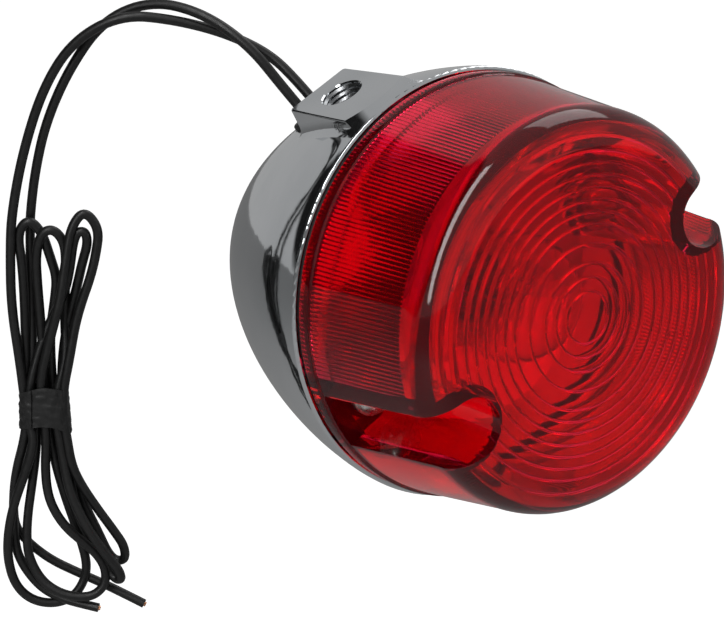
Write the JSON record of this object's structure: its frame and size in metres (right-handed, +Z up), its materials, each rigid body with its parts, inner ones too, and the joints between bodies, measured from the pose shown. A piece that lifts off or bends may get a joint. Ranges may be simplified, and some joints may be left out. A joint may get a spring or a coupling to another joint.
{
  "type": "motorcycle tail light",
  "caption": "Round bullet tail light: chromed die-cast shell with a threaded mounting boss, deep red ringed lens, bayonet bulb in a spring socket, and taped flying leads.",
  "frame": {"origin": "centre of the mouth of the threaded stem hole, on the flat top of the boss", "axes": "+Z up with the light hung as it is used, its boss leaning 30 degrees from plumb towards -X; the lens looks along -Y and the nose of the shell points along +Y"},
  "size_m": [0.1099, 0.1115, 0.1313],
  "materials": {
    "chrome": "polished",
    "red_lens": "glossy",
    "gasket_rubber": "matte",
    "grommet_rubber": "satin",
    "zinc_steel": "satin",
    "bright_plate": "polished",
    "socket_steel": "satin",
    "phenolic": "matte",
    "contact_brass": "satin",
    "spring_steel": "satin",
    "bulb_glass": "polished",
    "cap_nickel": "satin",
    "black_glass": "glossy",
    "solder": "satin",
    "tungsten": "satin",
    "lead_sheath": "satin",
    "tape": "satin"
  },
  "bodies": {
    "housing": {"housing": "chrome", "wire_grommet": "grommet_rubber", "lens_gasket": "gasket_rubber", "reflector": "bright_plate", "socket_shell": "socket_steel", "contact_spring": "spring_steel", "lead_a_inside": "lead_sheath", "lead_b_inside": "lead_sheath", "lead_a": "lead_sheath", "lead_b": "lead_sheath", "lead_a_tail": "lead_sheath", "lead_b_tail": "lead_sheath", "hank_upper": "lead_sheath", "hank_lower": "lead_sheath", "hank_tape": "tape"},
    "lens": {"lens": "red_lens"},
    "washer_upper": {"lens_washer_upper": "zinc_steel"},
    "screw_upper": {"lens_screw_upper": "zinc_steel"},
    "washer_lower": {"lens_washer_lower": "zinc_steel"},
    "screw_lower": {"lens_screw_lower": "zinc_steel"},
    "contact_plunger": {"contact_disc": "phenolic", "contact_studs": "contact_brass"},
    "bulb": {"bulb_glass": "bulb_glass", "bulb_base": "cap_nickel", "bulb_insulator": "black_glass", "bulb_contacts": "solder", "bulb_pins": "cap_nickel", "bulb_stem": "bulb_glass", "bulb_supports": "tungsten", "bulb_filaments": "tungsten"}
  },
  "joints": [
    {"name": "lens_off", "type": "slide", "parent": "housing", "child": "lens", "axis": [0, -1, 0], "range_m": [0, 0.06]},
    {"name": "screw_upper_out", "type": "slide", "parent": "lens", "child": "washer_upper", "axis": [0, -1, 0], "range_m": [0, 0.008]},
    {"name": "screw_upper_turn", "type": "hinge", "parent": "washer_upper", "child": "screw_upper", "pos_m": [0.0491, -0.0142, -0.02153], "axis": [0, -1, 0], "range_deg": [0, 3630]},
    {"name": "screw_lower_out", "type": "slide", "parent": "lens", "child": "washer_lower", "axis": [0, -1, 0], "range_m": [0, 0.008]},
    {"name": "screw_lower_turn", "type": "hinge", "parent": "washer_lower", "child": "screw_lower", "pos_m": [-0.0059, -0.0142, -0.05328], "axis": [0, -1, 0], "range_deg": [0, 3630]},
    {"name": "bulb_push", "type": "slide", "parent": "housing", "child": "contact_plunger", "axis": [0, 1, 0], "range_m": [0, 0.002], "stiffness_N_per_m": 2500, "springref_m": -0.003, "deforming": ["contact_spring", "lead_a_inside", "lead_b_inside"]},
    {"name": "bulb_turn", "type": "hinge", "parent": "contact_plunger", "child": "bulb", "pos_m": [0.0216, 0, -0.03741], "axis": [0, -1, 0], "range_deg": [0, 25]}
  ],
  "couplings": [
    {"joint": "screw_upper_turn", "follows": "screw_upper_out", "rad_per_m": 7915.8},
    {"joint": "screw_lower_turn", "follows": "screw_lower_out", "rad_per_m": 7915.8}
  ]
}
